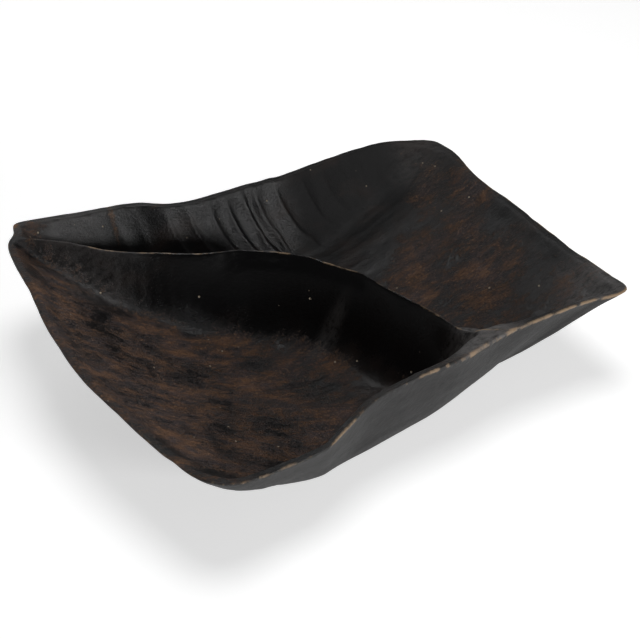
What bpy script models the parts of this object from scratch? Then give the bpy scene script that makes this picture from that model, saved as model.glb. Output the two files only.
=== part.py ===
"""Carved wooden bowl: a boat-shaped tray hollowed from one block, with a curved wall across it.

Frame: metres, +Z up, origin on the ground under the middle of the bowl. +X runs along the grain, which
is the long way. The long front wall is at -Y, the back wall at +Y, and the shallow ends at -X and +X.

The real bowl is a single carving. It is modelled as two regions that meet along the foot of the wall:
carved_shell, the hull with its rim and its hollow, and dividing_wall, which makes the two compartments.
"""

import bmesh
import bpy
import numpy as np
from mathutils import Vector
from mathutils.bvhtree import BVHTree

# Outer edge of the rim, in order round the bowl: back left tip, back, right, front, left.
RIM_POINTS = [
    (-0.203, 0.171, 0.106), (-0.188, 0.183, 0.106), (-0.125, 0.177, 0.100), (-0.087, 0.171, 0.0985),
    (-0.060, 0.159, 0.094), (0.010, 0.155, 0.090), (0.062, 0.154, 0.088), (0.120, 0.158, 0.087),
    (0.165, 0.158, 0.086), (0.199, 0.149, 0.085), (0.225, 0.132, 0.084), (0.229, 0.108, 0.084),
    (0.220, 0.060, 0.084), (0.218, 0.000, 0.0855), (0.213, -0.073, 0.088), (0.211, -0.125, 0.090),
    (0.210, -0.162, 0.092), (0.202, -0.167, 0.092), (0.175, -0.161, 0.091), (0.127, -0.157, 0.090),
    (0.087, -0.156, 0.090), (0.042, -0.160, 0.0875), (-0.010, -0.160, 0.086), (-0.046, -0.163, 0.084),
    (-0.075, -0.172, 0.079), (-0.100, -0.180, 0.075), (-0.140, -0.182, 0.0755), (-0.178, -0.183, 0.082),
    (-0.200, -0.170, 0.085), (-0.211, -0.140, 0.087), (-0.221, -0.087, 0.090), (-0.2295, -0.032, 0.094),
    (-0.2285, 0.040, 0.099), (-0.2235, 0.080, 0.102), (-0.2185, 0.130, 0.1045), (-0.212, 0.160, 0.105),
]
BACK_LEFT, BACK_RIGHT, FRONT_RIGHT, FRONT_LEFT = 0, 10, 16, 28  # corners, as places in RIM_POINTS

# Crest of the dividing wall, from the back left corner to where it runs into the front rim.
CREST_POINTS = [
    (-0.2005, 0.1635, 0.1045), (-0.165, 0.144, 0.098), (-0.130, 0.115, 0.092), (-0.100, 0.099, 0.088),
    (-0.060, 0.078, 0.086), (-0.030, 0.066, 0.085), (0.000, 0.043, 0.084), (0.022, 0.013, 0.083),
    (0.037, -0.015, 0.083), (0.045, -0.047, 0.0825), (0.054, -0.076, 0.082), (0.060, -0.103, 0.083),
    (0.0625, -0.124, 0.084), (0.070, -0.138, 0.0865), (0.088, -0.152, 0.090),
]

RIM_THICKNESS = 0.0055
RIM_ROUNDING = 0.0012
FLOOR_HEIGHT = 0.014  # wood left under the deepest part of the hollow
WALL_SLOPE = 2.25  # rise over run of the hollow's long walls
END_LENGTH = 0.200  # run of each scooped end, from the rim to the level floor
END_CURVE = 1.9  # how hollow a scooped end is: 1 is a flat slope
FILLET = 0.012  # rounding where a long wall meets the floor
CORNER_FILLET = 0.026  # added to it along the back, towards the right corner, between these two places in x
SWEEP_START, SWEEP_END = 0.020, 0.160

BASE_HALF_LENGTH = 0.105
BASE_HALF_WIDTH = 0.1325
BASE_CENTRE = (-0.012, 0.007)
BASE_TAPER = 0.10  # the base narrows towards +X by this share of its half width
BASE_SQUARENESS = 3.8  # exponent of the base's rounded outline
HULL_ANGLE_SCALE = (0.220, 0.172)  # half sizes that match points of the rim to points of the base

# How the outside falls from rim to base, first at a long wall and then at an end: the share of the run
# and of the height that the first handle of the curve takes, the run of the last one, and its lift.
HULL_LEAVE = (0.30, 0.33)
HULL_DROP = (0.52, 0.39)
HULL_ARRIVE = (0.40, 0.33)
HULL_LIFT = (0.0, 0.11)
WALL_RUN, END_RUN = 0.045, 0.100  # a run this short is a long wall, and this long is an end

DIVIDER_SLOPE = 2.2
CREST_THICKNESS = 0.0035
DIVIDER_ENDS = (0.035, 0.975)  # the wall stops here, as shares of the crest, inside the two corners
SEAM_GAP = 0.0007  # clearance between the wall and the shell that it stands on
LEAST_UPWARD = 0.2  # upward part of the surface's normal below which the clearance grows no further
ABOVE_ALL = 0.3  # a height above the whole bowl

CURVE_STEPS = 16  # samples in each span of a curve
AROUND = 120  # facets round the rim
HULL_RINGS = 9
HOLLOW_SCALES = [0.985, 0.965, 0.94, 0.91, 0.88, 0.85, 0.81, 0.74, 0.62, 0.46, 0.28, 0.10]
WALL_STATIONS = 40
FACE_STEPS = [0.0, 0.35, 0.7, 1.0]  # levels down each face of the dividing wall
FOOT_STEPS = 8  # facets across the underside of the dividing wall
FOOT_HALVINGS = 24  # steps of the search for the foot of a face
SHARP_ANGLE = 40  # degrees; edges sharper than this aren't shaded smooth

SHELL_LOOK = {"colour": (0.030, 0.021, 0.016, 1.0), "roughness": 0.48}
WALL_LOOK = {"colour": (0.022, 0.017, 0.014, 1.0), "roughness": 0.42}


def clear_scene():
    for item in list(bpy.data.objects):
        bpy.data.objects.remove(item, do_unlink=True)


def make_collection(name):
    collection = bpy.data.collections.new(name)
    bpy.context.scene.collection.children.link(collection)
    return collection


def wood(name, look):
    material = bpy.data.materials.new(name)
    material.use_nodes = True
    shader = material.node_tree.nodes["Principled BSDF"]
    shader.inputs["Base Color"].default_value = look["colour"]
    shader.inputs["Roughness"].default_value = look["roughness"]
    shader.inputs["Metallic"].default_value = 0.0
    return material


def add_object(name, shape, collection, material):
    """Makes an object of a bmesh, with its faces turned outwards and its round areas smooth."""
    bmesh.ops.recalc_face_normals(shape, faces=shape.faces)
    mesh = bpy.data.meshes.new(name)
    shape.to_mesh(mesh)
    shape.free()
    mesh.materials.append(material)
    mesh.shade_smooth()
    mesh.set_sharp_from_angle(angle=np.radians(SHARP_ANGLE))
    item = bpy.data.objects.new(name, mesh)
    collection.objects.link(item)
    return item


def spline(points, closed):
    """A smooth curve through the points (centripetal Catmull-Rom)."""
    points = np.array(points)
    if closed:
        padded = np.vstack([points[-1:], points, points[:2]])
    else:
        padded = np.vstack([2 * points[:1] - points[1:2], points, 2 * points[-1:] - points[-2:-1]])
    samples = []
    for first in range(len(padded) - 3):
        a, b, c, d = padded[first:first + 4]
        knots = np.cumsum([0.0] + [np.sqrt(np.linalg.norm(q - p)) for p, q in ((a, b), (b, c), (c, d))])
        for t in np.linspace(knots[1], knots[2], CURVE_STEPS, endpoint=False):
            ab = blend(a, b, t, knots[0], knots[1])
            bc = blend(b, c, t, knots[1], knots[2])
            cd = blend(c, d, t, knots[2], knots[3])
            abc = blend(ab, bc, t, knots[0], knots[2])
            bcd = blend(bc, cd, t, knots[1], knots[3])
            samples.append(blend(abc, bcd, t, knots[1], knots[2]))
    samples.append(points[0] if closed else points[-1])
    return np.array(samples)


def blend(start, end, t, t_start, t_end):
    share = (t - t_start) / (t_end - t_start)
    return start + (end - start) * share


def resample(line, count, start=0.0, end=1.0, closed=False):
    """Points evenly spaced along a polyline, between two shares of its length."""
    lengths = np.concatenate([[0.0], np.cumsum(np.linalg.norm(np.diff(line, axis=0), axis=1))])
    marks = np.linspace(start, end, count, endpoint=not closed) * lengths[-1]
    return np.stack([np.interp(marks, lengths, line[:, axis]) for axis in range(3)], axis=1)


def plan_normals(line, closed):
    """Unit vectors in plan, to the right of the way that the line runs."""
    if closed:
        along = np.roll(line, -1, axis=0) - np.roll(line, 1, axis=0)
    else:
        along = np.gradient(line, axis=0)
    across = np.stack([along[:, 1], -along[:, 0]], axis=1)
    return across / np.linalg.norm(across, axis=1)[:, None]


def nearest_on(line, plan):
    """Plan distance from each point to a polyline, and the polyline's height there."""
    distance = np.full(len(plan), np.inf)
    height = np.zeros(len(plan))
    for start, end in zip(line[:-1], line[1:]):
        step = end - start
        share = np.clip((plan - start[:2]) @ step[:2] / (step[:2] @ step[:2]), 0.0, 1.0)
        here = np.linalg.norm(plan - start[:2] - share[:, None] * step[:2], axis=1)
        closer = here < distance
        distance[closer] = here[closer]
        height[closer] = (start[2] + share * step[2])[closer]
    return distance, height


def smooth_max(first, second, rounding):
    overlap = np.maximum(rounding - np.abs(first - second), 0.0) / rounding
    return np.maximum(first, second) + overlap ** 2 * rounding / 4


def smooth_step(value, low, high):
    share = np.clip((value - low) / (high - low), 0.0, 1.0)
    return share * share * (3.0 - 2.0 * share)


def rim_sides(rim):
    """The rim's four sides as polylines, from corner to corner."""
    corners = [corner * CURVE_STEPS for corner in (BACK_LEFT, BACK_RIGHT, FRONT_RIGHT, FRONT_LEFT)]
    ends = corners[1:] + [len(rim) - 1]
    return [rim[start:end + 1] for start, end in zip(corners, ends)]


def hollow_height(plan, sides):
    """Height of the hollowed surface: steep long walls, scooped ends and a level floor between."""
    back, right, front, left = sides
    scoops = np.full(len(plan), FLOOR_HEIGHT)
    for side in (left, right):
        distance, top = nearest_on(side, plan)
        share = np.clip(1.0 - (distance - RIM_THICKNESS) / END_LENGTH, 0.0, 1.0) ** END_CURVE
        scoops = np.maximum(scoops, FLOOR_HEIGHT + (top - FLOOR_HEIGHT) * share)
    height = scoops
    back_fillet = FILLET + CORNER_FILLET * smooth_step(plan[:, 0], SWEEP_START, SWEEP_END)
    for side, fillet in ((back, back_fillet), (front, FILLET)):
        distance, top = nearest_on(side, plan)
        height = smooth_max(height, top - (distance - RIM_THICKNESS) * WALL_SLOPE, fillet)
    return height


def base_outline(rim):
    """The flat base's edge: a rounded, tapered outline with a point for each point of the rim."""
    angle = np.arctan2(rim[:, 1] / HULL_ANGLE_SCALE[1], rim[:, 0] / HULL_ANGLE_SCALE[0])
    power = 2.0 / BASE_SQUARENESS
    along = np.sign(np.cos(angle)) * np.abs(np.cos(angle)) ** power
    across = np.sign(np.sin(angle)) * np.abs(np.sin(angle)) ** power * (1.0 - BASE_TAPER * along)
    x = BASE_CENTRE[0] + BASE_HALF_LENGTH * along
    y = BASE_CENTRE[1] + BASE_HALF_WIDTH * across
    return np.stack([x, y, np.zeros(len(rim))], axis=1)


def hull_rings(rim):
    """Outer rings from the rim down to the base: upright at the long walls, swept under at the ends."""
    base = base_outline(rim)
    run = base[:, :2] - rim[:, :2]
    length = np.linalg.norm(run, axis=1)
    endness = np.clip((length - WALL_RUN) / (END_RUN - WALL_RUN), 0.0, 1.0)[:, None]
    leave, drop, arrive, lift = [
        wall + (end - wall) * endness for wall, end in (HULL_LEAVE, HULL_DROP, HULL_ARRIVE, HULL_LIFT)
    ]
    upper = np.hstack([rim[:, :2] + run * leave, rim[:, 2:] * (1.0 - drop)])
    lower = np.hstack([base[:, :2] - run * arrive, rim[:, 2:] * lift])
    rings = []
    for t in np.linspace(0.0, 1.0, HULL_RINGS + 1)[1:]:
        s = 1.0 - t
        rings.append(s ** 3 * rim + 3 * s * s * t * upper + 3 * s * t * t * lower + t ** 3 * base)
    return rings


def loft(shape, rings, cap_first=False, cap_last=False):
    """Skins closed rings of equal length with quads, and closes the ends that are asked for."""
    loops = [[shape.verts.new(point) for point in ring] for ring in rings]
    for lower, upper in zip(loops[:-1], loops[1:]):
        for i in range(len(lower)):
            j = (i + 1) % len(lower)
            shape.faces.new((lower[i], lower[j], upper[j], upper[i]))
    if cap_first:
        shape.faces.new(loops[0])
    if cap_last:
        shape.faces.new(loops[-1])


def shell_shape(rim_curve, sides):
    """The whole hull in one skin: base, outside, rounded rim and hollow."""
    rim = resample(rim_curve, AROUND, closed=True)
    inward = np.column_stack([plan_normals(rim, closed=True), np.zeros(AROUND)])
    sink = np.array([0.0, 0.0, RIM_ROUNDING])
    edge_out = rim - sink
    crown_out = rim + inward * RIM_ROUNDING
    crown_in = rim + inward * (RIM_THICKNESS - RIM_ROUNDING)
    edge_in = rim + inward * RIM_THICKNESS
    hollow = []
    for scale in HOLLOW_SCALES:
        plan = edge_in[:, :2] * scale
        hollow.append(np.column_stack([plan, hollow_height(plan, sides)]))
    shape = bmesh.new()
    outside = hull_rings(edge_out)
    rings = outside[::-1] + [edge_out, crown_out, crown_in, edge_in - sink] + hollow
    loft(shape, rings, cap_first=True, cap_last=True)
    return shape


def surface_under(tree, x, y):
    """Height of the seam that clears the hollowed surface by SEAM_GAP, square to that surface."""
    point, normal, _, _ = tree.ray_cast(Vector((x, y, ABOVE_ALL)), Vector((0.0, 0.0, -1.0)))
    if point is None:  # beyond the rim
        return np.inf
    return point.z + SEAM_GAP / max(abs(normal.z), LEAST_UPWARD)


def face_foot(tree, crest, across):
    """How far out, in plan, a sloping face of the wall comes down to the seam."""
    near, far = CREST_THICKNESS / 2, crest[2] / DIVIDER_SLOPE + CREST_THICKNESS
    for _ in range(FOOT_HALVINGS):
        middle = (near + far) / 2
        plan = crest[:2] + across * middle
        if face_height(crest, middle) > surface_under(tree, *plan):
            near = middle
        else:
            far = middle
    return near


def face_height(crest, distance):
    return crest[2] - (distance - CREST_THICKNESS / 2) * DIVIDER_SLOPE


def wall_section(tree, crest, across):
    """One closed section of the dividing wall: down one face, along the seam and up the other."""
    feet = [face_foot(tree, crest, across * way) for way in (1.0, -1.0)]
    offsets = []
    heights = []
    for way, foot in ((1.0, feet[0]), (-1.0, feet[1])):
        reach = [blend(CREST_THICKNESS / 2, foot, step, 0.0, 1.0) for step in FACE_STEPS]
        face = [(way * out, face_height(crest, out)) for out in reach]
        if way < 0:
            face.reverse()
        for out, height in face:
            offsets.append(out)
            heights.append(height)
        if way > 0:
            for share in np.linspace(0.0, 1.0, FOOT_STEPS + 1)[1:-1]:
                out = blend(feet[0], -feet[1], share, 0.0, 1.0)
                offsets.append(out)
                heights.append(surface_under(tree, *(crest[:2] + across * out)))
    plan = crest[:2] + np.outer(offsets, across)
    return np.column_stack([plan, heights])


def wall_shape(tree):
    crest = resample(spline(CREST_POINTS, closed=False), WALL_STATIONS, *DIVIDER_ENDS)
    across = plan_normals(crest, closed=False)
    shape = bmesh.new()
    loft(shape, [wall_section(tree, *station) for station in zip(crest, across)], True, True)
    return shape


def main():
    clear_scene()
    bowl = make_collection("carved_wooden_bowl")
    rim_curve = spline(RIM_POINTS, closed=True)
    shell = shell_shape(rim_curve, rim_sides(rim_curve))
    bmesh.ops.triangulate(shell, faces=shell.faces)
    wall = wall_shape(BVHTree.FromBMesh(shell))
    add_object("carved_shell", shell, bowl, wood("shell_wood", SHELL_LOOK))
    add_object("dividing_wall", wall, bowl, wood("wall_wood", WALL_LOOK))


main()
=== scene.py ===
"""Carved wooden bowl, finished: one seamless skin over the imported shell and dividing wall.

Frame: metres, +Z up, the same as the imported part. +X runs along the grain. The skin is made of two
curved sheets, one for each compartment, that share the crest of the dividing wall, and of a hull that
hangs from the rim. Each sheet is a height over the plan, so that tool marks are cut by lowering it.
"""

import functools

import bmesh
import bpy
import numpy as np
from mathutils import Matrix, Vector


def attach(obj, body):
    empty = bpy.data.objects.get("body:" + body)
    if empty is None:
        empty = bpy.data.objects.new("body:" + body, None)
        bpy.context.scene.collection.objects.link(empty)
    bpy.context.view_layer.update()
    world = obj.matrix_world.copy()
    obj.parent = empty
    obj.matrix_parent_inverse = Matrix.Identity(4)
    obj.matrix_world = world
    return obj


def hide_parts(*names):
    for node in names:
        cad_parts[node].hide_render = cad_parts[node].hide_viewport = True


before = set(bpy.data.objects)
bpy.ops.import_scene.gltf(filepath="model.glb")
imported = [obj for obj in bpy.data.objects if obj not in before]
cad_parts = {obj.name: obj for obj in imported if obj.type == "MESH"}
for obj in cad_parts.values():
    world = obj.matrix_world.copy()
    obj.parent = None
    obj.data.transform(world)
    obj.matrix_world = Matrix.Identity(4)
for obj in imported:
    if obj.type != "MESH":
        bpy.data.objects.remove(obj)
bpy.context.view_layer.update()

MM = 0.001  # cuts and the distances of mesh lines are listed in millimetres

# Outer edge of the rim, in order round the bowl: back left tip, back, right, front, left.
RIM_POINTS = [
    (-0.203, 0.171, 0.106), (-0.1975, 0.1832, 0.1065), (-0.182, 0.1832, 0.1055), (-0.125, 0.177, 0.100),
    (-0.087, 0.171, 0.0985),
    (-0.060, 0.159, 0.094), (0.010, 0.155, 0.090), (0.062, 0.154, 0.088), (0.120, 0.158, 0.087),
    (0.165, 0.158, 0.086), (0.199, 0.149, 0.085), (0.225, 0.132, 0.084), (0.229, 0.108, 0.084),
    (0.220, 0.060, 0.084), (0.218, 0.000, 0.0855), (0.213, -0.073, 0.088), (0.211, -0.125, 0.090),
    (0.210, -0.162, 0.092), (0.202, -0.167, 0.092), (0.175, -0.161, 0.091), (0.127, -0.157, 0.090),
    (0.087, -0.156, 0.090), (0.042, -0.160, 0.0875), (-0.010, -0.160, 0.086), (-0.046, -0.163, 0.084),
    (-0.075, -0.172, 0.079), (-0.100, -0.180, 0.075), (-0.140, -0.182, 0.0755), (-0.178, -0.183, 0.082),
    (-0.200, -0.170, 0.085), (-0.211, -0.140, 0.087), (-0.221, -0.087, 0.090), (-0.2295, -0.032, 0.094),
    (-0.2285, 0.040, 0.099), (-0.2235, 0.080, 0.102), (-0.2185, 0.130, 0.1045), (-0.212, 0.160, 0.105),
]
BACK_LEFT, BACK_RIGHT, FRONT_RIGHT, FRONT_LEFT = 0, 11, 17, 29  # corners, as places in RIM_POINTS

# The dividing wall's crest, from the back left corner to the front rim.
CREST_POINTS = [
    RIM_POINTS[BACK_LEFT], (-0.2005, 0.1635, 0.1045),
    (-0.165, 0.144, 0.098), (-0.130, 0.115, 0.092), (-0.100, 0.099, 0.088), (-0.060, 0.078, 0.086),
    (-0.030, 0.066, 0.085), (0.000, 0.043, 0.084), (0.022, 0.013, 0.083), (0.037, -0.015, 0.083),
    (0.045, -0.047, 0.0825), (0.054, -0.076, 0.082), (0.060, -0.103, 0.083), (0.0625, -0.124, 0.084),
    (0.070, -0.138, 0.0865), (0.088, -0.152, 0.090), (0.097, -0.1565, 0.0902),
]
CURVE_STEPS = 16  # samples in each span of a curve
LINE_STEP = 0.0015  # spacing of the lines that distances are measured to

RIM_THICKNESS = 0.0055
RIM_ROUNDING = 0.0016
RIM_SAG = 0.0006  # how far the rim's top dips inwards
RIM_SAG_WIDTH = 0.004
RIM_FILLET = 0.002  # between the rim's top and the walls below it
FLOOR_HEIGHT = 0.014
WALL_SLOPE = 2.25
END_LENGTH = 0.200  # the scoops rise over this length to the rim's two ends
END_CURVE = 1.9
FILLET = 0.012
CORNER_FILLET = 0.026  # added to it towards the back right corner, which is hollowed in one round sweep
SWEEP_START, SWEEP_END = 0.020, 0.160
DIVIDER_SLOPE = 2.2
CREST_RADIUS = 0.0015
FOOT_FILLET = 0.018

# Where the crest runs out into the front rim, the rim is broad and rounded over.
WEB_X, WEB_LENGTH, WEB_WIDTH, WEB_ROUNDING = 0.066, 0.034, 0.007, 0.0035

# The dividing wall keeps the crest's small turns only near its top: below, it follows their trend.
TREND_POINTS = 121
TREND_REACH = 21  # points on either side that the trend is taken over
TREND_BLEND = (0.001, 0.011)  # distances from the crest
TIP_SPAN = (-0.075, -0.125)  # along x, where the wall narrows into the back left tip

BASE_HALF_LENGTH = 0.105
BASE_HALF_WIDTH = 0.1325
BASE_CENTRE = (-0.012, 0.007)
BASE_TAPER = 0.10  # narrower by this share at its right end, and wider by it at its left end
BASE_SQUARENESS = 3.8  # power of the superellipse that it is

# The hull's section is a cubic curve from the rim to the base. Each pair is for a long wall and an end.
HULL_ANGLE_SCALE = (0.220, 0.172)  # half length and half width that directions are measured on
HULL_LEAVE = (0.30, 0.33)  # how far in the curve's upper handle reaches, as a share of the run
HULL_DROP = (0.52, 0.39)  # and how far down, as a share of the rim's height
HULL_ARRIVE = (0.40, 0.33)  # how far out the lower handle reaches
HULL_LIFT = (0.0, 0.11)  # and how far up
WALL_RUN, END_RUN = 0.045, 0.100  # how far the rim stands out over the base
END_BLEND = 1.6  # above 1, the long walls' section reaches further round the corners
FULL_CORNER, FULL_CORNER_SIZE = (-0.190, -0.178), 0.050  # the hull is fuller under this corner
FULLNESS = 0.14
HULL_RINGS = 26
BASE_RINGS = [0.97, 0.92, 0.84, 0.72, 0.56, 0.38, 0.19, 0.05, 0.0]

# Distances from an edge, in mm, at which the sheets have a line of corners.
RIM_MARKS = [0, 0.2, 0.6, 1.1, 1.8, 3.2, 4.4, 5.2, 6.0, 7.0, 8.2, 9.5]
WALL_MARKS = RIM_MARKS + [11, 12.5, 14, 15.5, 17, 18.5, 20, 21.5, 23, 24.5, 26, 28, 30, 32, 34.5, 37]
CREST_MARKS = [
    0, 0.5, 1.0, 1.6, 2.4, 3.4, 4.7, 6.2, 7.8, 9.5, 11.5, 13.5, 15.5, 17.5, 20, 22.5, 25, 28, 31, 35,
]
DENSE = 221  # samples each way before the lines are placed
LONG_LINES = 225  # lines across the long way of the right sheet
CREST_LINES = 178  # lines that meet the crest
LEFT_LINES = 112  # lines of the left sheet alongside the crest
POINT_MARKS = [0, 1.5, 3, 5]  # distances from the point where the left sheet's lines meet
LINE_ROOM = 0.9  # the marks of both edges take at most this share of a row
CREST_LEAN = 0.030  # nearer the crest than this, the left sheet's lines lean to meet the right sheet's
WELD_DISTANCE = 0.00002

FLUTE_RIDGES = [
    -0.190, -0.170, -0.151, -0.130, -0.108, -0.085, -0.062, -0.043, -0.022, -0.005, 0.013, 0.025, 0.048,
    0.076, 0.100, 0.122, 0.142, 0.160, 0.180, 0.200, 0.225,
]
FLUTE_DEPTHS = [
    0.7, 0.8, 0.9, 1.2, 1.4, 1.6, 1.6, 2.0, 2.2, 2.8, 2.8, 1.9, 3.0, 1.5, 0.8, 0.6, 0.4, 0.3, 0.3, 0.3, 0.3,
]
FLUTE_SLANT = 0.16  # how far a flute leans towards +X for each metre down
FLUTE_CURL = 60.0  # and how strongly its foot sweeps on towards +X
FLUTE_LENGTH = 0.060  # the sweep grows down to here
FLUTE_SKEW = 0.72  # below 1, a cut is deepest nearer its lower-numbered ridge
FLUTE_TOP = 0.15  # share of its depth that a flute has at the rim
FLUTE_FADE = 0.016
DIVIDER_FLUTE, TIP_FLUTE = 0.25, 1.25  # shares of the depth on the dividing wall, the second added at its tip
DIVIDER_FADE = (0.002, 0.015)  # distances below the crest

# Adze strokes: size, depth, shift of the pattern and seed.
SCOOP_STROKES = [((0.060, 0.018), 0.0020, 0.0, 31), ((0.024, 0.010), 0.0009, 0.5, 32)]
HULL_STROKES = ((0.055, 0.020), 0.0007, 51)  # size, depth and seed
HULL_STROKE_STRETCH = (1.0, 1.6)  # along x and z
HULL_FADE = 0.010  # depth below the rim where the hull's marks are full
OPEN_FLOOR = (0.006, 0.020)  # distances from the rim where the floor's marks grow in

# Unevenness: height, size and seed of each smooth noise.
CREST_WAVES = [(0.0005, 0.014, 5), (0.0008, 0.050, 6)]
THICKNESS_WAVES = [(0.0012, 0.030, 21), (0.0005, 0.009, 22)]
RADIUS_WAVES = [(0.4, 0.030, 23)]  # as a share of the crest's radius
FOOT_WAVES = [(0.6, 0.022, 26)]  # as a share of the foot's fillet
RAGGED_FOOT = [(0.006, 0.007, 27), (0.008, 0.018, 28)]
FLOOR_WAVES = [(0.0006, 0.026, 25)]
FINE_WAVES = [(0.00012, 0.004, 24)]
HULL_WAVES = [(0.0007, (0.090, 0.050, 0.035), 52), (0.00012, (0.020, 0.003, 0.003), 53)]

# The same for the crest in plan and for the rim: height, for each axis or for all, and size.
CREST_SWAY, CREST_SWAY_SIZE = 0.0005, 0.020
RIM_WAVE, RIM_WAVE_SIZE = (0.0006, 0.0006, 0.0008), 0.030
RIM_RIPPLE, RIM_RIPPLE_SIZE = (0.0003, 0.0003, 0.0004), 0.011

# Finish
FACE_START, FACE_END = 0.002, 0.030  # height of the dividing wall's surface over the scoop it rises from
POCKET_EDGE = (0.010, 0.040)  # distances from the rim between which the pocket fades in, with its painted shade
GRAIN_TURN = -0.25  # the strokes run this far round from +X, in radians
BRIGHT_SIDE = (-0.05, 0.20)  # values of x - y between which the rim's wear grows to full
LEAST_RIM_WEAR = 0.62
RIM_WEAR, RIM_WEAR_OUTSIDE, CREST_WEAR = 0.0024, 0.0012, 0.0014  # widths of the worn wood
BLOTCH_LEVEL, BLOTCHES = 0.60, [(0.45, 0.005, 61), (0.30, 0.018, 63)]  # uneven wear of all edges
CREST_WEAR_LEVEL, CREST_WEAR_WAVES = 0.72, [(0.5, 0.024, 64)]
BROWN_WAVES = [(0.3, 0.030, 62)]
MATT_X, MATT_Y = (0.045, 0.085), (0.060, 0.110)  # the back wall is duller towards its right end
MATT_LEVEL = 0.8

# Patches of the finish: x, y, half length, half width and strength.
BROWN_PATCHES = [
    (-0.185, 0.000, 0.085, 0.210, 1.0),
    (-0.100, -0.080, 0.110, 0.110, 1.0),
    (-0.020, -0.130, 0.090, 0.045, 0.9),
    (-0.075, -0.005, 0.115, 0.095, 1.0),
    (0.030, -0.115, 0.035, 0.030, 0.6),
    (0.135, -0.015, 0.075, 0.105, 1.0),
    (0.150, -0.110, 0.075, 0.060, 0.8),
    (0.190, 0.060, 0.045, 0.080, 0.85),
]
# Places rubbed through to orange wood.
RAW_PATCHES = [
    (-0.200, 0.182, 0.008, 0.007, 0.9),
    (-0.111, 0.168, 0.004, 0.016, 0.62),
    (-0.062, 0.159, 0.020, 0.003, 0.6),
    (0.222, 0.060, 0.004, 0.050, 0.6),
    (0.050, -0.158, 0.060, 0.003, 0.45),
]
# Painted grey sheen along the rim and in the corners.
PAINTED_SHEEN_PATCHES = [
    (0.195, -0.145, 0.035, 0.045, 0.8),
    (0.070, -0.146, 0.036, 0.026, 1.0),
    (-0.160, 0.176, 0.055, 0.010, 0.35),
    (0.205, 0.125, 0.030, 0.035, 0.25),
    (-0.155, 0.122, 0.040, 0.030, 0.35),
    (0.004, -0.016, 0.018, 0.008, 0.35),
]

MASKS = ("wear", "brown", "raw", "painted_sheen", "matt", "pocket", "outside")  # set at each point of the mesh

# Noises of the material: stretch along each axis, size, detail and roughness.
WOOD_NOISES = {
    "grain": ((6.0, 1.0, 4.0), 0.0013, 5.0, 0.6),
    "streak": ((2.2, 1.0, 2.2), 0.0034, 6.0, 0.68),
    "smear": ((2.0, 1.0, 2.4), 0.0110, 8.0, 0.66),
    "cloud": ((1.6, 1.0, 1.0), 0.030, 6.0, 0.6),
    "speckle": ((1.2, 1.0, 1.2), 0.0017, 4.0, 0.7),
}
SPECKS_A_METRE = 120.0  # cells that can hold a pale speck
BUMP_DISTANCE, BUMP_STRENGTH = 0.0012, 0.8
SPECULAR_LEVEL = 0.35

# Camera
VIEW_AZIMUTH, VIEW_ELEVATION = -32.5, 36.5
VIEW_DISTANCE = 1.20
VIEW_TARGET = (0.0075, -0.013, 0.068)
SENSOR = 36.0
LENS = 78.08
VIEW_SHIFT = (-0.0148, -0.0359)

# Stage
FLOOR_SIZE, FLOOR_LEVEL = 12.0, -0.0002
FLOOR_GREY, FLOOR_ROUGHNESS, FLOOR_GLOW = 0.85, 0.9, 0.55
SKY_BAND = (0.04, 0.24)  # z of a direction of length 1, between which the sky fades
SKY_LOW, SKY_HIGH = 0.70, 0.07  # its strengths below and above the band
# Place, size and power of each light, which points at the origin.
LIGHTS = {
    "key": ((0.46, -1.57, 0.47), 0.36, 11.5),
    "overhead": ((0.1, 0.1, 1.7), 0.9, 12.0),
    "back": ((0.1, 1.5, 1.1), 1.0, 3.5),
}


# ---------------------------------------------------------------- curves and distances


def blend(start, end, t, t_start, t_end):
    share = (t - t_start) / (t_end - t_start)
    return start + (end - start) * share


def spline(points, closed):
    """A smooth curve through the points (centripetal Catmull-Rom)."""
    points = np.array(points)
    if closed:
        padded = np.vstack([points[-1:], points, points[:2]])
    else:
        padded = np.vstack([2 * points[:1] - points[1:2], points, 2 * points[-1:] - points[-2:-1]])
    samples = []
    for first in range(len(padded) - 3):
        a, b, c, d = padded[first:first + 4]
        knots = np.cumsum([0.0] + [np.sqrt(np.linalg.norm(q - p)) for p, q in ((a, b), (b, c), (c, d))])
        for t in np.linspace(knots[1], knots[2], CURVE_STEPS, endpoint=False):
            ab = blend(a, b, t, knots[0], knots[1])
            bc = blend(b, c, t, knots[1], knots[2])
            cd = blend(c, d, t, knots[2], knots[3])
            abc = blend(ab, bc, t, knots[0], knots[2])
            bcd = blend(bc, cd, t, knots[1], knots[3])
            samples.append(blend(abc, bcd, t, knots[1], knots[2]))
    samples.append(points[0] if closed else points[-1])
    return np.array(samples)


def lengths_along(line):
    return np.concatenate([[0.0], np.cumsum(np.linalg.norm(np.diff(line[:, :2], axis=0), axis=1))])


def points_along(line, count):
    """count points evenly spaced along a line."""
    lengths = lengths_along(line)
    marks = np.linspace(0.0, lengths[-1], count)
    return np.stack([np.interp(marks, lengths, line[:, axis]) for axis in range(line.shape[1])], axis=1)


def even_line(line):
    return points_along(line, int(lengths_along(line)[-1] / LINE_STEP))


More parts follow.
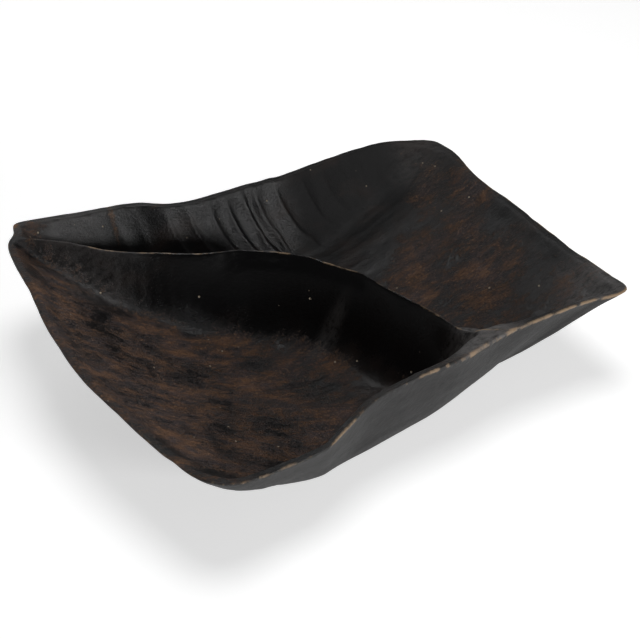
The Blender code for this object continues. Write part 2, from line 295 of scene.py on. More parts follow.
def nearest_on(line, plan):
    """Plan distance from each point to a closely spaced line, and the line's nearest point there."""
    block_size = 4000  # points handled at a time, to save memory
    closest = np.concatenate([
        ((block[:, :1] - line[:, 0]) ** 2 + (block[:, 1:] - line[:, 1]) ** 2).argmin(axis=1)
        for block in np.array_split(plan, 1 + len(plan) // block_size)
    ])
    distance = np.full(len(plan), np.inf)
    nearest = np.zeros((len(plan), 3))
    for before in (1, 0):
        first = np.clip(closest - before, 0, len(line) - 2)
        start, step = line[first], line[first + 1] - line[first]
        along = ((plan - start[:, :2]) * step[:, :2]).sum(axis=1) / (step[:, :2] ** 2).sum(axis=1)
        point = start + np.clip(along, 0.0, 1.0)[:, None] * step
        here = np.linalg.norm(plan - point[:, :2], axis=1)
        closer = here < distance
        distance[closer] = here[closer]
        nearest[closer] = point[closer]
    return distance, nearest


def smooth_max(first, second, rounding):
    overlap = np.maximum(rounding - np.abs(first - second), 0.0) / rounding
    return np.maximum(first, second) + overlap ** 2 * rounding / 4


def smooth_min(first, second, rounding):
    return -smooth_max(-first, -second, rounding)


def smooth_step(value, low, high):
    share = np.clip((value - low) / (high - low), 0.0, 1.0)
    return share * share * (3.0 - 2.0 * share)


def soft_noise(points, size, seed):
    """Smooth random bumps from -1 to 1, about size across; size may differ along each axis."""
    side = 32  # cells before the pattern repeats
    table = np.random.default_rng(seed).uniform(-1.0, 1.0, (side, side, side))
    places = points / size
    cell = np.floor(places).astype(int)
    share = places - cell
    share = share * share * (3.0 - 2.0 * share)
    total = np.zeros(len(points))
    for corner in np.ndindex(2, 2, 2):
        weight = np.prod(np.where(np.array(corner) == 1, share, 1.0 - share), axis=1)
        total += weight * table[tuple(((cell + corner) % side).T)]
    return total


def uneven(points, kinds):
    """The sum of several soft noises, each given as height, size and seed."""
    return sum(height * soft_noise(points, size, seed) for height, size, seed in kinds)


# ---------------------------------------------------------------- the lines of the bowl


class Lines:
    """The rim's sides and the dividing wall's crest, as lines of points from corner to corner."""

    def __init__(self):
        rim = spline(RIM_POINTS, closed=True)
        corners = [place * CURVE_STEPS for place in (BACK_LEFT, BACK_RIGHT, FRONT_RIGHT, FRONT_LEFT)]
        rim = self.worn(rim)
        ends = corners[1:] + [len(rim) - 1]
        self.back, self.right, self.front, left = [rim[a:b + 1] for a, b in zip(corners, ends)]
        self.left = left[::-1]  # from the back corner forwards
        self.rim = even_line(rim)
        crest = spline(CREST_POINTS, closed=False)
        crest[:, 2] += uneven(crest, CREST_WAVES)
        sway = np.column_stack([soft_noise(crest, CREST_SWAY_SIZE, seed) for seed in (7, 8)])
        crest[:, :2] += CREST_SWAY * sway
        crest[0] = self.back[0]
        join = np.argmin(np.linalg.norm(self.front[:, :2] - crest[-1, :2], axis=1))
        crest[-1] = self.front[join]
        self.crest = crest
        self.crest_trend = self.trend(crest)
        self.front_right = self.front[:join + 1][::-1]  # from the crest's end to the right corner
        self.front_left = self.front[join:][::-1]  # from the left corner to the crest's end

    @staticmethod
    def worn(rim):
        """The rim with the slow waves that hand carving and wear leave in it."""
        waves = np.column_stack([soft_noise(rim, RIM_WAVE_SIZE, seed) for seed in (11, 12, 13)])
        ripple = np.column_stack([soft_noise(rim, RIM_RIPPLE_SIZE, seed) for seed in (14, 15, 16)])
        rim = rim + waves * RIM_WAVE + ripple * RIM_RIPPLE
        rim[-1] = rim[0]
        return rim

    @staticmethod
    def trend(crest):
        """The crest without its small turns."""
        points = points_along(crest, TREND_POINTS)
        window = np.hanning(2 * TREND_REACH + 1)
        window /= window.sum()
        before = np.repeat(points[:1], TREND_REACH, axis=0)
        after = np.repeat(points[-1:], TREND_REACH, axis=0)
        padded = np.vstack([before, points, after])
        smoothed = [np.convolve(padded[:, axis], window, "valid") for axis in range(3)]
        return even_line(np.column_stack(smoothed))


# ---------------------------------------------------------------- plan of the two sheets


def coons(start, end, low, high):
    """Plan points between four edges: start and end are crossed by the lines, low and high run along them."""
    u = np.linspace(0.0, 1.0, DENSE)[:, None, None]
    v = np.linspace(0.0, 1.0, DENSE)[None, :, None]
    start, end, low, high = [points_along(edge, DENSE)[:, :2] for edge in (start, end, low, high)]
    across = (1 - v) * start[:, None] + v * end[:, None]
    along = (1 - u) * low[None] + u * high[None]
    corners = (1 - u) * ((1 - v) * low[0] + v * low[-1]) + u * ((1 - v) * high[0] + v * high[-1])
    return across + along - corners


def places_along(near, far, near_marks, far_marks, count):
    """Where count lines cross a row of samples, as sample numbers: at the given distances from either
    end, and evenly between. near and far are the samples' distances from the two edges."""
    rise = 1e-9 * np.arange(len(near))  # keeps both rows of distances growing
    near = np.maximum.accumulate(near) + rise
    far = np.maximum.accumulate(far[::-1]) + rise
    room = min(near[-1], far[-1])
    squeeze = min(1.0, room * LINE_ROOM / (near_marks[-1] + far_marks[-1]))
    sample = np.arange(len(near))
    first = np.interp(near_marks * squeeze, near, sample)
    last = sample[-1] - np.interp(far_marks * squeeze, far, sample)[::-1]
    last = np.maximum(last, first[-1])
    middle = np.linspace(first[-1], last[0], count - len(first) - len(last) + 2)[1:-1]
    return np.concatenate([first, middle, last])


def distances(grid, line):
    """Each grid point's distance from a line, or from a single point."""
    if len(line) == 1:
        return np.linalg.norm(grid - line[0, :2], axis=2)
    return nearest_on(even_line(line), grid.reshape(-1, 2))[0].reshape(grid.shape[:2])


def rearrange(grid, places):
    """Moves the samples of each row of a grid to the given places."""
    sample = np.arange(grid.shape[1])
    return np.array([
        np.stack([np.interp(marks, sample, row[:, axis]) for axis in (0, 1)], axis=1)
        for row, marks in zip(grid, places)
    ])


def line_places(grid, near_edge, far_edge, near_marks, far_marks, count):
    """Where count lines cross each row of a grid, closer together near its two edges."""
    near_marks, far_marks = np.array(near_marks) * MM, np.array(far_marks) * MM
    near, far = distances(grid, near_edge), distances(grid, far_edge)
    return [places_along(a, b, near_marks, far_marks, count) for a, b in zip(near, far)]


def right_sheet(lines):
    """Plan of the right compartment: rows run from the crest to the right rim, first along the back."""
    grid = coons(lines.crest, lines.right, lines.back, lines.front_right)
    places = line_places(grid, lines.crest, lines.right, CREST_MARKS, RIM_MARKS, LONG_LINES)
    turned = rearrange(grid, places).transpose(1, 0, 2)
    places = line_places(turned, lines.back, lines.front_right, WALL_MARKS, WALL_MARKS, CREST_LINES)
    return rearrange(turned, places).transpose(1, 0, 2)


def left_sheet(lines, crest_plan):
    """Plan of the left compartment: rows run from the left rim to where the crest meets the front."""
    grid = coons(lines.left, lines.crest[-1:], lines.crest, lines.front_left)
    places = line_places(grid, lines.left, lines.crest[-1:], RIM_MARKS, POINT_MARKS, CREST_LINES)
    samples = np.arange(DENSE)
    crest_lengths = lengths_along(points_along(lines.crest, DENSE))
    plan_lengths = lengths_along(crest_plan)
    shared = np.interp(plan_lengths * crest_lengths[-1] / plan_lengths[-1], crest_lengths, samples)
    lean = smooth_step(distances(grid, lines.crest), 0.0, CREST_LEAN)
    places = [shared + (own - shared) * np.interp(own, samples, weight) for own, weight in zip(places, lean)]
    turned = rearrange(grid, places).transpose(1, 0, 2)
    places = line_places(turned, lines.crest, lines.front_left, CREST_MARKS, WALL_MARKS, LEFT_LINES)
    grid = rearrange(turned, places).transpose(1, 0, 2)
    grid[0] = crest_plan
    return grid


# ---------------------------------------------------------------- height of the sheets and tool marks


def flutes(along, down, ridges, depths, slant=0.0, curl=0.0):
    """Depth of gouge cuts that lie side by side: nil on the ridges between them."""
    sweep = curl * np.clip(down, 0.0, FLUTE_LENGTH) ** 3
    place = np.interp(along - down * slant - sweep, ridges, np.arange(len(ridges)))
    cut = np.minimum(place.astype(int), len(ridges) - 2)
    share = (place - cut) ** FLUTE_SKEW
    return 4.0 * share * (1.0 - share) * np.array(depths)[cut] * MM


def strokes(plan, size, depth, seed):
    """Depth of shallow adze strokes, each an ellipse size across, scattered on a jittered lattice."""
    rng = np.random.default_rng(seed)
    side = 64  # cells before the pattern repeats
    spacing = 0.62  # of the strokes, as a share of their size
    reach = 1.1  # square of a stroke's radius, in cells
    loose = 0.45  # how far a stroke can lie from its cell's middle, in cells
    shallowest = 0.45  # depth of the faintest stroke, as a share of the deepest
    jitter = rng.uniform(-loose, loose, (side, side, 2))
    weight = rng.uniform(shallowest, 1.0, (side, side))
    lattice = plan / (np.array(size) * spacing)
    cell = np.floor(lattice).astype(int)
    deepest = np.zeros(len(plan))
    for dx, dy in np.ndindex(3, 3):
        here = cell + (dx - 1, dy - 1)
        column, row = here[:, 0] % side, here[:, 1] % side
        offset = lattice - (here + 0.5 + jitter[column, row])
        bowl = 1.0 - (offset ** 2).sum(axis=1) / reach
        deepest = np.maximum(deepest, bowl * weight[column, row])
    return deepest * depth


def scoop_height(lines, plan, thickness, open_floor):
    """The floor, rising in a sweep to the rim at both ends, with its adze strokes."""
    height = np.full(len(plan), FLOOR_HEIGHT)
    for side in (lines.left, lines.right):
        distance, top = nearest_on(even_line(side), plan)
        share = np.maximum(1.0 - (distance - thickness) / END_LENGTH, 0.0) ** END_CURVE
        height = np.maximum(height, FLOOR_HEIGHT + (top[:, 2] - FLOOR_HEIGHT) * share)
    for size, depth, shift, seed in SCOOP_STROKES:
        height -= open_floor * strokes(plan + shift, size, depth, seed)
    return height


def walls_added(height, lines, plan, thickness):
    """A height with the fluted back and front walls rising from it."""
    sweep = FILLET + CORNER_FILLET * smooth_step(plan[:, 0], SWEEP_START, SWEEP_END)
    for side, ridges, depths, slant, curl, rounding in (
        (lines.back, FLUTE_RIDGES, FLUTE_DEPTHS, FLUTE_SLANT, FLUTE_CURL, sweep),
        (lines.front, FRONT_RIDGES, FRONT_DEPTHS, 0.0, 0.0, FILLET),
    ):
        distance, top = nearest_on(even_line(side), plan)
        down = (distance - thickness) * WALL_SLOPE
        cut = flutes(top[:, 0], down, ridges, depths, slant, curl)
        cut *= FLUTE_TOP + (1.0 - FLUTE_TOP) * smooth_step(down, 0.0, FLUTE_FADE)
        height = smooth_max(height, top[:, 2] - down - cut * WALL_SLOPE, rounding)
    return height


def divider_height(crest, reach, near_tip):
    """The dividing wall's height at points that lie at reach from the given points of its crest."""
    radius = CREST_RADIUS * (1.0 + uneven(crest, RADIUS_WAVES))
    fall = (np.sqrt(reach ** 2 + radius ** 2) - radius) * DIVIDER_SLOPE
    cut = flutes(crest[:, 0] - crest[:, 1], fall, DIVIDER_RIDGES, DIVIDER_DEPTHS)
    cut *= DIVIDER_FLUTE + TIP_FLUTE * near_tip
    return crest[:, 2] - fall - cut * smooth_step(fall, *DIVIDER_FADE)


def rim_rounded(height, edge, rim, rounding):
    """A height held down to the rim's top, and rounded over at its outer edge."""
    rim_top = rim[:, 2] - RIM_SAG * smooth_step(edge, 0.0, RIM_SAG_WIDTH)
    height = smooth_min(height, rim_top, RIM_FILLET)
    inset = np.clip(rounding - edge, 0.0, rounding)
    return height - (rounding - np.sqrt(rounding ** 2 - inset ** 2))


def sheet_height(lines, plan, compartment):
    """Height of a compartment's surface, and the measures that its finish depends on."""
    edge, rim = nearest_on(lines.rim, plan)
    web = np.exp(-((rim[:, 0] - WEB_X) / WEB_LENGTH) ** 2) * (rim[:, 1] < 0.0)
    thickness = RIM_THICKNESS + uneven(rim, THICKNESS_WAVES) + WEB_WIDTH * web
    open_floor = smooth_step(edge, *OPEN_FLOOR)
    height = scoop_height(lines, plan, thickness, open_floor)
    height = walls_added(height, lines, plan, thickness)

    reach, crest = nearest_on(even_line(lines.crest), plan)
    trend_reach, _ = nearest_on(lines.crest_trend, plan)
    reach = reach + (trend_reach - reach) * smooth_step(reach, *TREND_BLEND)
    near_tip = smooth_step(crest[:, 0], *TIP_SPAN)
    divider = divider_height(crest, reach, near_tip)
    ragged = uneven(np.column_stack([plan, divider]), RAGGED_FOOT)
    face = smooth_step(divider - height + ragged, FACE_START, FACE_END)
    foot = FOOT_FILLET * (1.0 + uneven(crest, FOOT_WAVES))
    height = smooth_max(height, divider, foot)

    height = rim_rounded(height, edge, rim, RIM_ROUNDING + WEB_ROUNDING * web)
    flat = np.column_stack([plan, np.zeros(len(plan))])
    height += open_floor * uneven(flat, FLOOR_WAVES) + uneven(flat, FINE_WAVES)
    # painted shade: where the dividing wall's face rises over the left scoop, away from its tip and the rim
    shade = face * (1.0 - near_tip) * smooth_step(edge, *POCKET_EDGE)
    pocket = shade if compartment == "left" else np.zeros(len(plan))
    return height, {"edge": edge, "reach": reach, "face": face, "pocket": pocket}


def seeded_ridges(start, end, spacing, seed):
    """Ridges of uneven spacing from start to end, and the depths in mm of the cuts between them."""
    rng = np.random.default_rng(seed)
    steps = rng.uniform(0.7, 1.3, int((end - start) / spacing))
    ridges = start + (end - start) * np.concatenate([[0.0], np.cumsum(steps)]) / steps.sum()
    return ridges, rng.uniform(0.5, 1.1, len(ridges))


FRONT_RIDGES, FRONT_DEPTHS = seeded_ridges(start=-0.23, end=0.23, spacing=0.016, seed=41)
DIVIDER_RIDGES, DIVIDER_DEPTHS = seeded_ridges(start=-0.39, end=0.26, spacing=0.015, seed=42)


# ---------------------------------------------------------------- the hull


def base_outline(rim):
    angle = np.arctan2(rim[:, 1] / HULL_ANGLE_SCALE[1], rim[:, 0] / HULL_ANGLE_SCALE[0])
    power = 2.0 / BASE_SQUARENESS
    along = np.sign(np.cos(angle)) * np.abs(np.cos(angle)) ** power
    across = np.sign(np.sin(angle)) * np.abs(np.sin(angle)) ** power * (1.0 - BASE_TAPER * along)
    x = BASE_CENTRE[0] + BASE_HALF_LENGTH * along
    y = BASE_CENTRE[1] + BASE_HALF_WIDTH * across
    return np.stack([x, y, np.zeros(len(rim))], axis=1)


def hull_rings(rim):
    """Outer rings from the rim down to the base: upright at the long walls, swept under at the ends."""
    base = base_outline(rim)
    run = base[:, :2] - rim[:, :2]
    length = np.linalg.norm(run, axis=1)
    endness = np.clip((length - WALL_RUN) / (END_RUN - WALL_RUN), 0.0, 1.0)[:, None] ** END_BLEND
    leave, drop, arrive, lift = [
        wall + (end - wall) * endness for wall, end in (HULL_LEAVE, HULL_DROP, HULL_ARRIVE, HULL_LIFT)
    ]
    corner = np.linalg.norm(rim[:, :2] - FULL_CORNER, axis=1, keepdims=True) / FULL_CORNER_SIZE
    leave = leave - FULLNESS * np.exp(-corner ** 2)
    upper = np.hstack([rim[:, :2] + run * leave, rim[:, 2:] * (1.0 - drop)])
    lower = np.hstack([base[:, :2] - run * arrive, rim[:, 2:] * lift])
    rings = []
    for t in np.linspace(0.0, 1.0, HULL_RINGS + 1):
        s = 1.0 - t
        rings.append(s ** 3 * rim + 3 * s * s * t * upper + 3 * s * t * t * lower + t ** 3 * base)
    centre = np.array([*BASE_CENTRE, 0.0])
    return rings + [centre + (base - centre) * scale for scale in BASE_RINGS]


def rough_hull(points, normals, depth_below_rim):
    """Moves the hull in and out by the faint facets of its finishing strokes."""
    turned = points[:, [0, 2]] * HULL_STROKE_STRETCH + points[:, 1:2]
    marks = strokes(turned, *HULL_STROKES)
    fade = smooth_step(depth_below_rim, 0.0, HULL_FADE)
    return points + normals * ((uneven(points, HULL_WAVES) - marks) * fade)[:, None]


def hull_skin(loop):
    """The hull hung from a loop of rim points: its rings, closed round, and each point's depth."""
    hull = np.array([np.vstack([ring, ring[:1]]) for ring in hull_rings(loop)])
    around = np.roll(hull[:, :-1], -1, axis=1) - np.roll(hull[:, :-1], 1, axis=1)
    down = np.gradient(hull[:, :-1], axis=0)
    normals = np.cross(around, down)
    normals /= np.maximum(np.linalg.norm(normals, axis=2), 1e-12)[..., None]
    normals = np.concatenate([normals, normals[:, :1]], axis=1)
    depth = (hull[:1, :, 2] - hull[..., 2]).reshape(-1)
    points = rough_hull(hull.reshape(-1, 3), normals.reshape(-1, 3), depth)
    points[:, 2] = np.maximum(points[:, 2], 0.0)
    return points.reshape(hull.shape), depth


# ---------------------------------------------------------------- putting the mesh together


def quads(rows, columns, first, flip=False):
    """Corner numbers of a sheet of quads over a grid of points numbered from first."""
    number = first + np.arange(rows * columns).reshape(rows, columns)
    faces = np.stack([number[:-1, :-1], number[:-1, 1:], number[1:, 1:], number[1:, :-1]], axis=-1)
    faces = faces.reshape(-1, 4)
    return faces[:, ::-1] if flip else faces


def bowl_mesh():
    """Points and faces of the skin, and for each point the measures that its finish depends on."""
    lines = Lines()
    right_plan = right_sheet(lines)
    left_plan = left_sheet(lines, right_plan[:, 0])
    sheets = []
    for compartment, plan in (("right", right_plan), ("left", left_plan)):
        flat = plan.reshape(-1, 2)
        height, measures = sheet_height(lines, flat, compartment)
        sheets.append((np.column_stack([flat, height]).reshape(*plan.shape[:2], 3), measures))
    (right, right_measures), (left, left_measures) = sheets
    left[0] = right[:, 0]

    right_side = [right[0], right[1:, -1], right[-1, ::-1][1:]]
    left_side = [left[-1, ::-1][1:], left[::-1, 0][1:-1]]
    hull, depth = hull_skin(np.vstack(right_side + left_side))

    points = np.vstack([part.reshape(-1, 3) for part in (right, left, hull)])
    right_count, left_count = right_plan[..., 0].size, left_plan[..., 0].size
    faces = np.vstack([
        quads(*right.shape[:2], 0),
        quads(*left.shape[:2], right_count, flip=True),
        quads(*hull.shape[:2], right_count + left_count),
    ])
    none = np.zeros(len(depth))
    on_hull = {"edge": depth, "reach": np.ones(len(depth)), "face": none, "pocket": none}
    measures = {
        name: np.concatenate([right_measures[name], left_measures[name], values])
        for name, values in on_hull.items()
    }
    measures["outside"] = np.concatenate([np.zeros(right_count + left_count), np.ones(len(depth))])
    return points, faces, measures


def build_bowl():
    points, faces, measures = bowl_mesh()
    mesh = bpy.data.meshes.new("carved_bowl")
    mesh.from_pydata(points.tolist(), [], faces.tolist())
    for name, values in finish_masks(points, measures).items():
        mesh.attributes.new(name, "FLOAT", "POINT").data.foreach_set("value", values.astype(np.float32))
    shape = bmesh.new()
    shape.from_mesh(mesh)
    bmesh.ops.remove_doubles(shape, verts=shape.verts, dist=WELD_DISTANCE)
    bmesh.ops.recalc_face_normals(shape, faces=shape.faces)
    shape.to_mesh(mesh)
    shape.free()
    mesh.shade_smooth()
    bowl = bpy.data.objects.new("carved_bowl", mesh)
    bpy.context.scene.collection.objects.link(bowl)
    return bowl


# ---------------------------------------------------------------- finish


def in_patches(points, patches):
    """How far each point is inside the strongest patch there, from 0 to 1."""
    amount = np.zeros(len(points))
    for x, y, half_length, half_width, strength in patches:
        away = ((points[:, 0] - x) / half_length) ** 2 + ((points[:, 1] - y) / half_width) ** 2
        amount = np.maximum(amount, strength * np.exp(-away ** 2))
    return amount


def finish_masks(points, measures):
    """Where the wood is worn, rubbed, painted with grey sheen, matt, painted with the pocket's shade or on
    the outside, each from 0 to 1.
    """
    outside = measures["outside"]
    inside = 1.0 - outside
    blotchy = BLOTCH_LEVEL + uneven(points, BLOTCHES)
    front_right = smooth_step(points[:, 0] - points[:, 1], *BRIGHT_SIDE)
    rim_wear = np.exp(-(measures["edge"] / RIM_WEAR) ** 2) * inside
    rim_wear += np.exp(-(measures["edge"] / RIM_WEAR_OUTSIDE) ** 2) * outside
    rim_wear *= LEAST_RIM_WEAR + (1.0 - LEAST_RIM_WEAR) * front_right
    crest_wear = np.exp(-(measures["reach"] / CREST_WEAR) ** 2)
    crest_wear *= CREST_WEAR_LEVEL + uneven(points, CREST_WEAR_WAVES)
    brown = in_patches(points, BROWN_PATCHES) * (1.0 - measures["face"]) + uneven(points, BROWN_WAVES)
    matt = smooth_step(points[:, 0], *MATT_X) * smooth_step(points[:, 1], *MATT_Y)
    return {
        "wear": np.clip(np.maximum(rim_wear, crest_wear) * blotchy, 0.0, 1.0),
        "brown": np.clip(brown, 0.0, 1.0) * inside,
        "raw": in_patches(points, RAW_PATCHES) * inside,
        "painted_sheen": in_patches(points, PAINTED_SHEEN_PATCHES) * inside,
        "matt": MATT_LEVEL * matt * inside,
        "pocket": measures["pocket"],
        "outside": outside,
    }


class Nodes:
    """Short forms for building a material's node tree."""

    def __init__(self, name):
        self.material = bpy.data.materials.new(name)
        self.material.use_nodes = True
        self.tree = self.material.node_tree
        self.shader = self.tree.nodes["Principled BSDF"]

    def put(self, target, value):
        if isinstance(value, bpy.types.NodeSocket):
            self.tree.links.new(value, target)
        else:
            target.default_value = value

    def add(self, kind, settings=(), **values):
        made = self.tree.nodes.new(kind)
        for name, value in dict(settings).items():
            setattr(made, name, value)
        for name, value in values.items():
            self.put(made.inputs[name.replace("_", " ")], value)
        return made

    def mask(self, name):
        return self.add("ShaderNodeAttribute", {"attribute_name": name}).outputs["Fac"]

    def noise(self, coords, stretch, size, detail, roughness):
        """Noise with bumps about size metres across, longer along an axis by stretch."""
        mapping = self.add("ShaderNodeMapping", Vector=coords, Scale=[1.0 / s for s in stretch])
        scaled = mapping.outputs["Vector"]
        kind = "ShaderNodeTexNoise"
        made = self.add(kind, Vector=scaled, Scale=1.0 / size, Detail=detail, Roughness=roughness)
        return made.outputs["Fac"]

    def math(self, operation, first, second):
        made = self.tree.nodes.new("ShaderNodeMath")
        made.operation = operation
        self.put(made.inputs[0], first)
        self.put(made.inputs[1], second)
        return made.outputs["Value"]

    def total(self, *parts):
        """Sum of parts, each given as value and weight."""
        weighted = [self.math("MULTIPLY", value, weight) for value, weight in parts]
        return functools.reduce(lambda first, second: self.math("ADD", first, second), weighted)

    def ramp(self, value, low, high, to_low=0.0, to_high=1.0):
        """value eased from to_low to to_high as it goes from low to high."""
        limits = {"From_Min": low, "From_Max": high, "To_Min": to_low, "To_Max": to_high}
        made = self.add("ShaderNodeMapRange", {"interpolation_type": "SMOOTHSTEP"}, Value=value, **limits)
        return made.outputs["Result"]

    def mix(self, share, first, second):
        made = self.tree.nodes.new("ShaderNodeMix")
        made.data_type = "RGBA"
        colour_sockets = [s for s in made.inputs if s.type == "RGBA"]
        self.put(made.inputs["Factor"], share)
        self.put(colour_sockets[0], first)
        self.put(colour_sockets[1], second)
        return next(s for s in made.outputs if s.type == "RGBA")


def rgb(red, green, blue):
    return (red, green, blue, 1.0)


# painted sheen: pale grey that stands in for highlights on surfaces near the rim and in the corners
SHEEN_GREY = rgb(0.095, 0.089, 0.087)
# painted shade: near black for the pocket's face, darker than the patina
POCKET_PAINTED_SHADE = rgb(0.0012, 0.0011, 0.0013)
PATINA = rgb(0.0030, 0.0027, 0.0030)
PATINA_WARM = rgb(0.011, 0.0068, 0.0056)
UMBER_COOL = rgb(0.074, 0.055, 0.056)
UMBER_WARM = rgb(0.145, 0.072, 0.037)
FLECK = rgb(0.25, 0.145, 0.075)
BARE = rgb(0.24, 0.165, 0.10)
RAW = rgb(0.16, 0.078, 0.030)
SPECK = rgb(0.42, 0.35, 0.26)
OUTSIDE = rgb(0.0052, 0.0050, 0.0051)
OUTSIDE_WORN = rgb(0.012, 0.0110, 0.0108)


def stroke_coords(n):
    """Coordinates turned so that their x runs along the strokes."""
    place = n.add("ShaderNodeTexCoord").outputs["Object"]
    turned = n.add("ShaderNodeVectorRotate", {"rotation_type": "Z_AXIS"}, Vector=place, Angle=-GRAIN_TURN)
    return turned.outputs["Vector"]


def pale_specks(n, coords, outside):
    """Where the small pale specks are: in a few of the cells, and only inside the bowl."""
    dots = n.add("ShaderNodeTexVoronoi", Vector=coords, Scale=SPECKS_A_METRE)
    chosen = n.add("ShaderNodeSeparateColor", Color=dots.outputs["Color"]).outputs["Red"]
    speck = n.math("MULTIPLY", n.ramp(dots.outputs["Distance"], 0.15, 0.07), n.ramp(chosen, 0.90, 0.97))
    return n.math("MULTIPLY", speck, n.math("SUBTRACT", 1.0, outside))


def wood_colour(n, noise, masks, texture, rubbed, bare, speck):
    """Patina, painted shade in the pocket and painted grey sheen, with umber where the wood is rubbed and raw
    or bare wood where it is worn.
    """
    dark = n.mix(n.ramp(noise["cloud"], 0.45, 0.68), PATINA, PATINA_WARM)
    # painted shade: the dividing wall's face in the left pocket is darkened to near black
    dark = n.mix(masks["pocket"], dark, POCKET_PAINTED_SHADE)
    # painted sheen: grey patches, broken up by streaks, where the surface would catch light
    dark = n.mix(n.math("MULTIPLY", masks["painted_sheen"], n.ramp(noise["streak"], 0.25, 0.60)), dark, SHEEN_GREY)
    umber = n.mix(n.ramp(noise["smear"], 0.38, 0.64), UMBER_COOL, UMBER_WARM)
    colour = n.mix(rubbed, dark, umber)
    fleck = n.math("MULTIPLY", n.ramp(noise["speckle"], 0.55, 0.72), n.math("MULTIPLY", rubbed, 0.8))
    colour = n.mix(fleck, colour, FLECK)
    hull_colour = n.mix(n.ramp(noise["streak"], 0.35, 0.7), OUTSIDE, OUTSIDE_WORN)
    colour = n.mix(masks["outside"], colour, hull_colour)
    raw = n.ramp(n.total((masks["raw"], 0.55), (texture, 0.9)), 0.66, 1.02)
    raw = n.math("MULTIPLY", raw, n.ramp(masks["raw"], 0.05, 0.4))
    colour = n.mix(raw, colour, RAW)
    colour = n.mix(bare, colour, BARE)
    return n.mix(speck, colour, SPECK)


def wood_roughness(n, noise, masks, rubbed, bare):
    """Glossy on the dark patina and in the pocket, dull where the wood is rubbed or bare."""
    pattern = n.math("MULTIPLY", n.math("ADD", noise["grain"], noise["cloud"]), 0.5)
    dull = n.math("ADD", n.math("MAXIMUM", rubbed, masks["matt"]), pattern)
    roughness = n.ramp(dull, 0.2, 1.2, 0.25, 0.66)
    changes = n.total((bare, 0.15), (masks["outside"], 0.24), (masks["pocket"], -0.15))
    return n.math("ADD", roughness, changes)


def wood_relief(n, noise, masks, rubbed, speck):
    """Grain and pits, fainter on the dark patina than on rubbed wood, and faintest in the pocket."""
    relief = n.total((noise["grain"], 0.35), (noise["speckle"], 0.9), (noise["streak"], 1.2))
    relief = n.math("MULTIPLY", relief, n.math("ADD", n.math("MULTIPLY", rubbed, 0.5), 0.5))
    calm = n.math("SUBTRACT", 1.0, n.math("MULTIPLY", masks["pocket"], 0.5))
    relief = n.math("MULTIPLY", relief, calm)
    return n.math("SUBTRACT", relief, n.math("MULTIPLY", speck, 0.8))


def wood_material():
    """Dark, handled wood: near-black patina, rubbed brown on the open surfaces and bare at the edges."""
    n = Nodes("old_dark_wood")
    coords = stroke_coords(n)
    masks = {name: n.mask(name) for name in MASKS}
    noise = {name: n.noise(coords, *kind) for name, kind in WOOD_NOISES.items()}
    texture = n.total((noise["streak"], 0.36), (noise["speckle"], 0.36), (noise["smear"], 0.28))
    lift = n.total((masks["brown"], 0.36), (noise["cloud"], 0.25))
    rubbed = n.ramp(n.math("ADD", lift, texture), 0.86, 1.12)
    bare = n.ramp(n.total((masks["wear"], 0.9), (noise["speckle"], 0.7)), 0.66, 1.10)
    speck = pale_specks(n, coords, masks["outside"])

    n.put(n.shader.inputs["Base Color"], wood_colour(n, noise, masks, texture, rubbed, bare, speck))
    n.put(n.shader.inputs["Roughness"], wood_roughness(n, noise, masks, rubbed, bare))
    n.put(n.shader.inputs["Specular IOR Level"], SPECULAR_LEVEL)
    relief = wood_relief(n, noise, masks, rubbed, speck)
    bump = n.add("ShaderNodeBump", Height=relief, Distance=BUMP_DISTANCE, Strength=BUMP_STRENGTH)
    n.put(n.shader.inputs["Normal"], bump.outputs["Normal"])
    return n.material


# ---------------------------------------------------------------- stage, light and camera


def towards_camera():
    """The direction from the bowl to the camera."""
    azimuth, elevation = np.radians([VIEW_AZIMUTH, VIEW_ELEVATION])
    out = np.cos(elevation)
    return Vector((np.sin(azimuth) * out, -np.cos(azimuth) * out, np.sin(elevation)))


def add_camera():
    data = bpy.data.cameras.new("camera")
    data.sensor_width = SENSOR
    data.lens = LENS
    data.shift_x, data.shift_y = VIEW_SHIFT
    camera = bpy.data.objects.new("camera", data)
    back = towards_camera()
    camera.location = Vector(VIEW_TARGET) + back * VIEW_DISTANCE
    camera.rotation_euler = (-back).to_track_quat("-Z", "Y").to_euler()
    bpy.context.scene.collection.objects.link(camera)
    bpy.context.scene.camera = camera


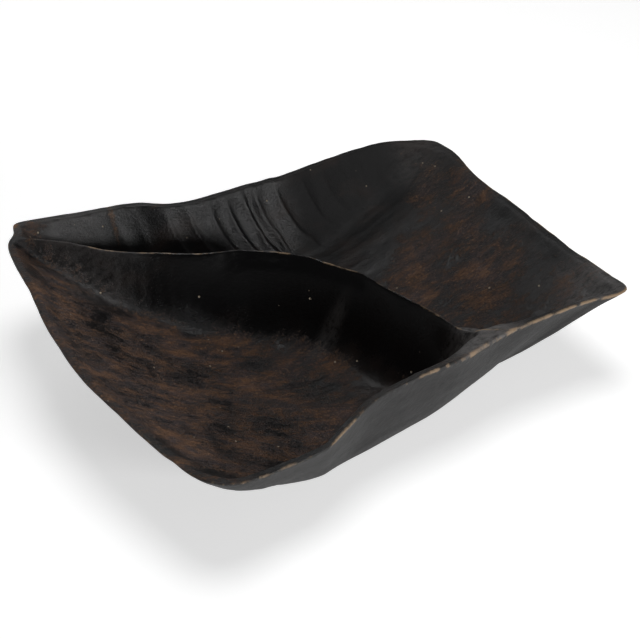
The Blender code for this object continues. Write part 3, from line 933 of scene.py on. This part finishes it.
def add_floor():
    bpy.ops.mesh.primitive_plane_add(size=FLOOR_SIZE, location=(0.0, 0.0, FLOOR_LEVEL))
    floor = bpy.context.object
    floor.name = "floor"
    paint = bpy.data.materials.new("pale_floor")
    paint.use_nodes = True
    shader = paint.node_tree.nodes["Principled BSDF"]
    shader.inputs["Base Color"].default_value = rgb(FLOOR_GREY, FLOOR_GREY, FLOOR_GREY)
    shader.inputs["Roughness"].default_value = FLOOR_ROUGHNESS
    shader.inputs["Emission Color"].default_value = rgb(1.0, 1.0, 1.0)
    shader.inputs["Emission Strength"].default_value = FLOOR_GLOW
    floor.data.materials.append(paint)


def add_area_light(name, location, size, power):
    data = bpy.data.lights.new(name, "AREA")
    data.shape = "DISK"
    data.size = size
    data.energy = power
    light = bpy.data.objects.new(name, data)
    light.location = location
    light.rotation_euler = (-Vector(location)).to_track_quat("-Z", "Y").to_euler()
    bpy.context.scene.collection.objects.link(light)


def add_world():
    """A pale sky, bright up to the horizon and dim above, so that it lights the bowl little."""
    world = bpy.data.worlds.new("studio")
    world.use_nodes = True
    tree = world.node_tree
    sky = tree.nodes["Background"]
    sky.inputs["Color"].default_value = rgb(1.0, 1.0, 1.0)
    direction = tree.nodes.new("ShaderNodeTexCoord")
    parts = tree.nodes.new("ShaderNodeSeparateXYZ")
    fade = tree.nodes.new("ShaderNodeMapRange")
    fade.interpolation_type = "SMOOTHSTEP"
    for name, value in zip(("From Min", "From Max", "To Min", "To Max"), (*SKY_BAND, SKY_LOW, SKY_HIGH)):
        fade.inputs[name].default_value = value
    tree.links.new(direction.outputs["Generated"], parts.inputs["Vector"])
    tree.links.new(parts.outputs["Z"], fade.inputs["Value"])
    tree.links.new(fade.outputs["Result"], sky.inputs["Strength"])
    bpy.context.scene.world = world


def main():
    add_camera()
    add_world()
    for name, (location, size, power) in LIGHTS.items():
        add_area_light(name, location, size, power)
    bpy.context.scene.view_settings.view_transform = "Standard"
    add_floor()
    bowl = build_bowl()
    bowl.data.materials.append(wood_material())
    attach(bowl, "root")
    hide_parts("carved_shell", "dividing_wall")


main()
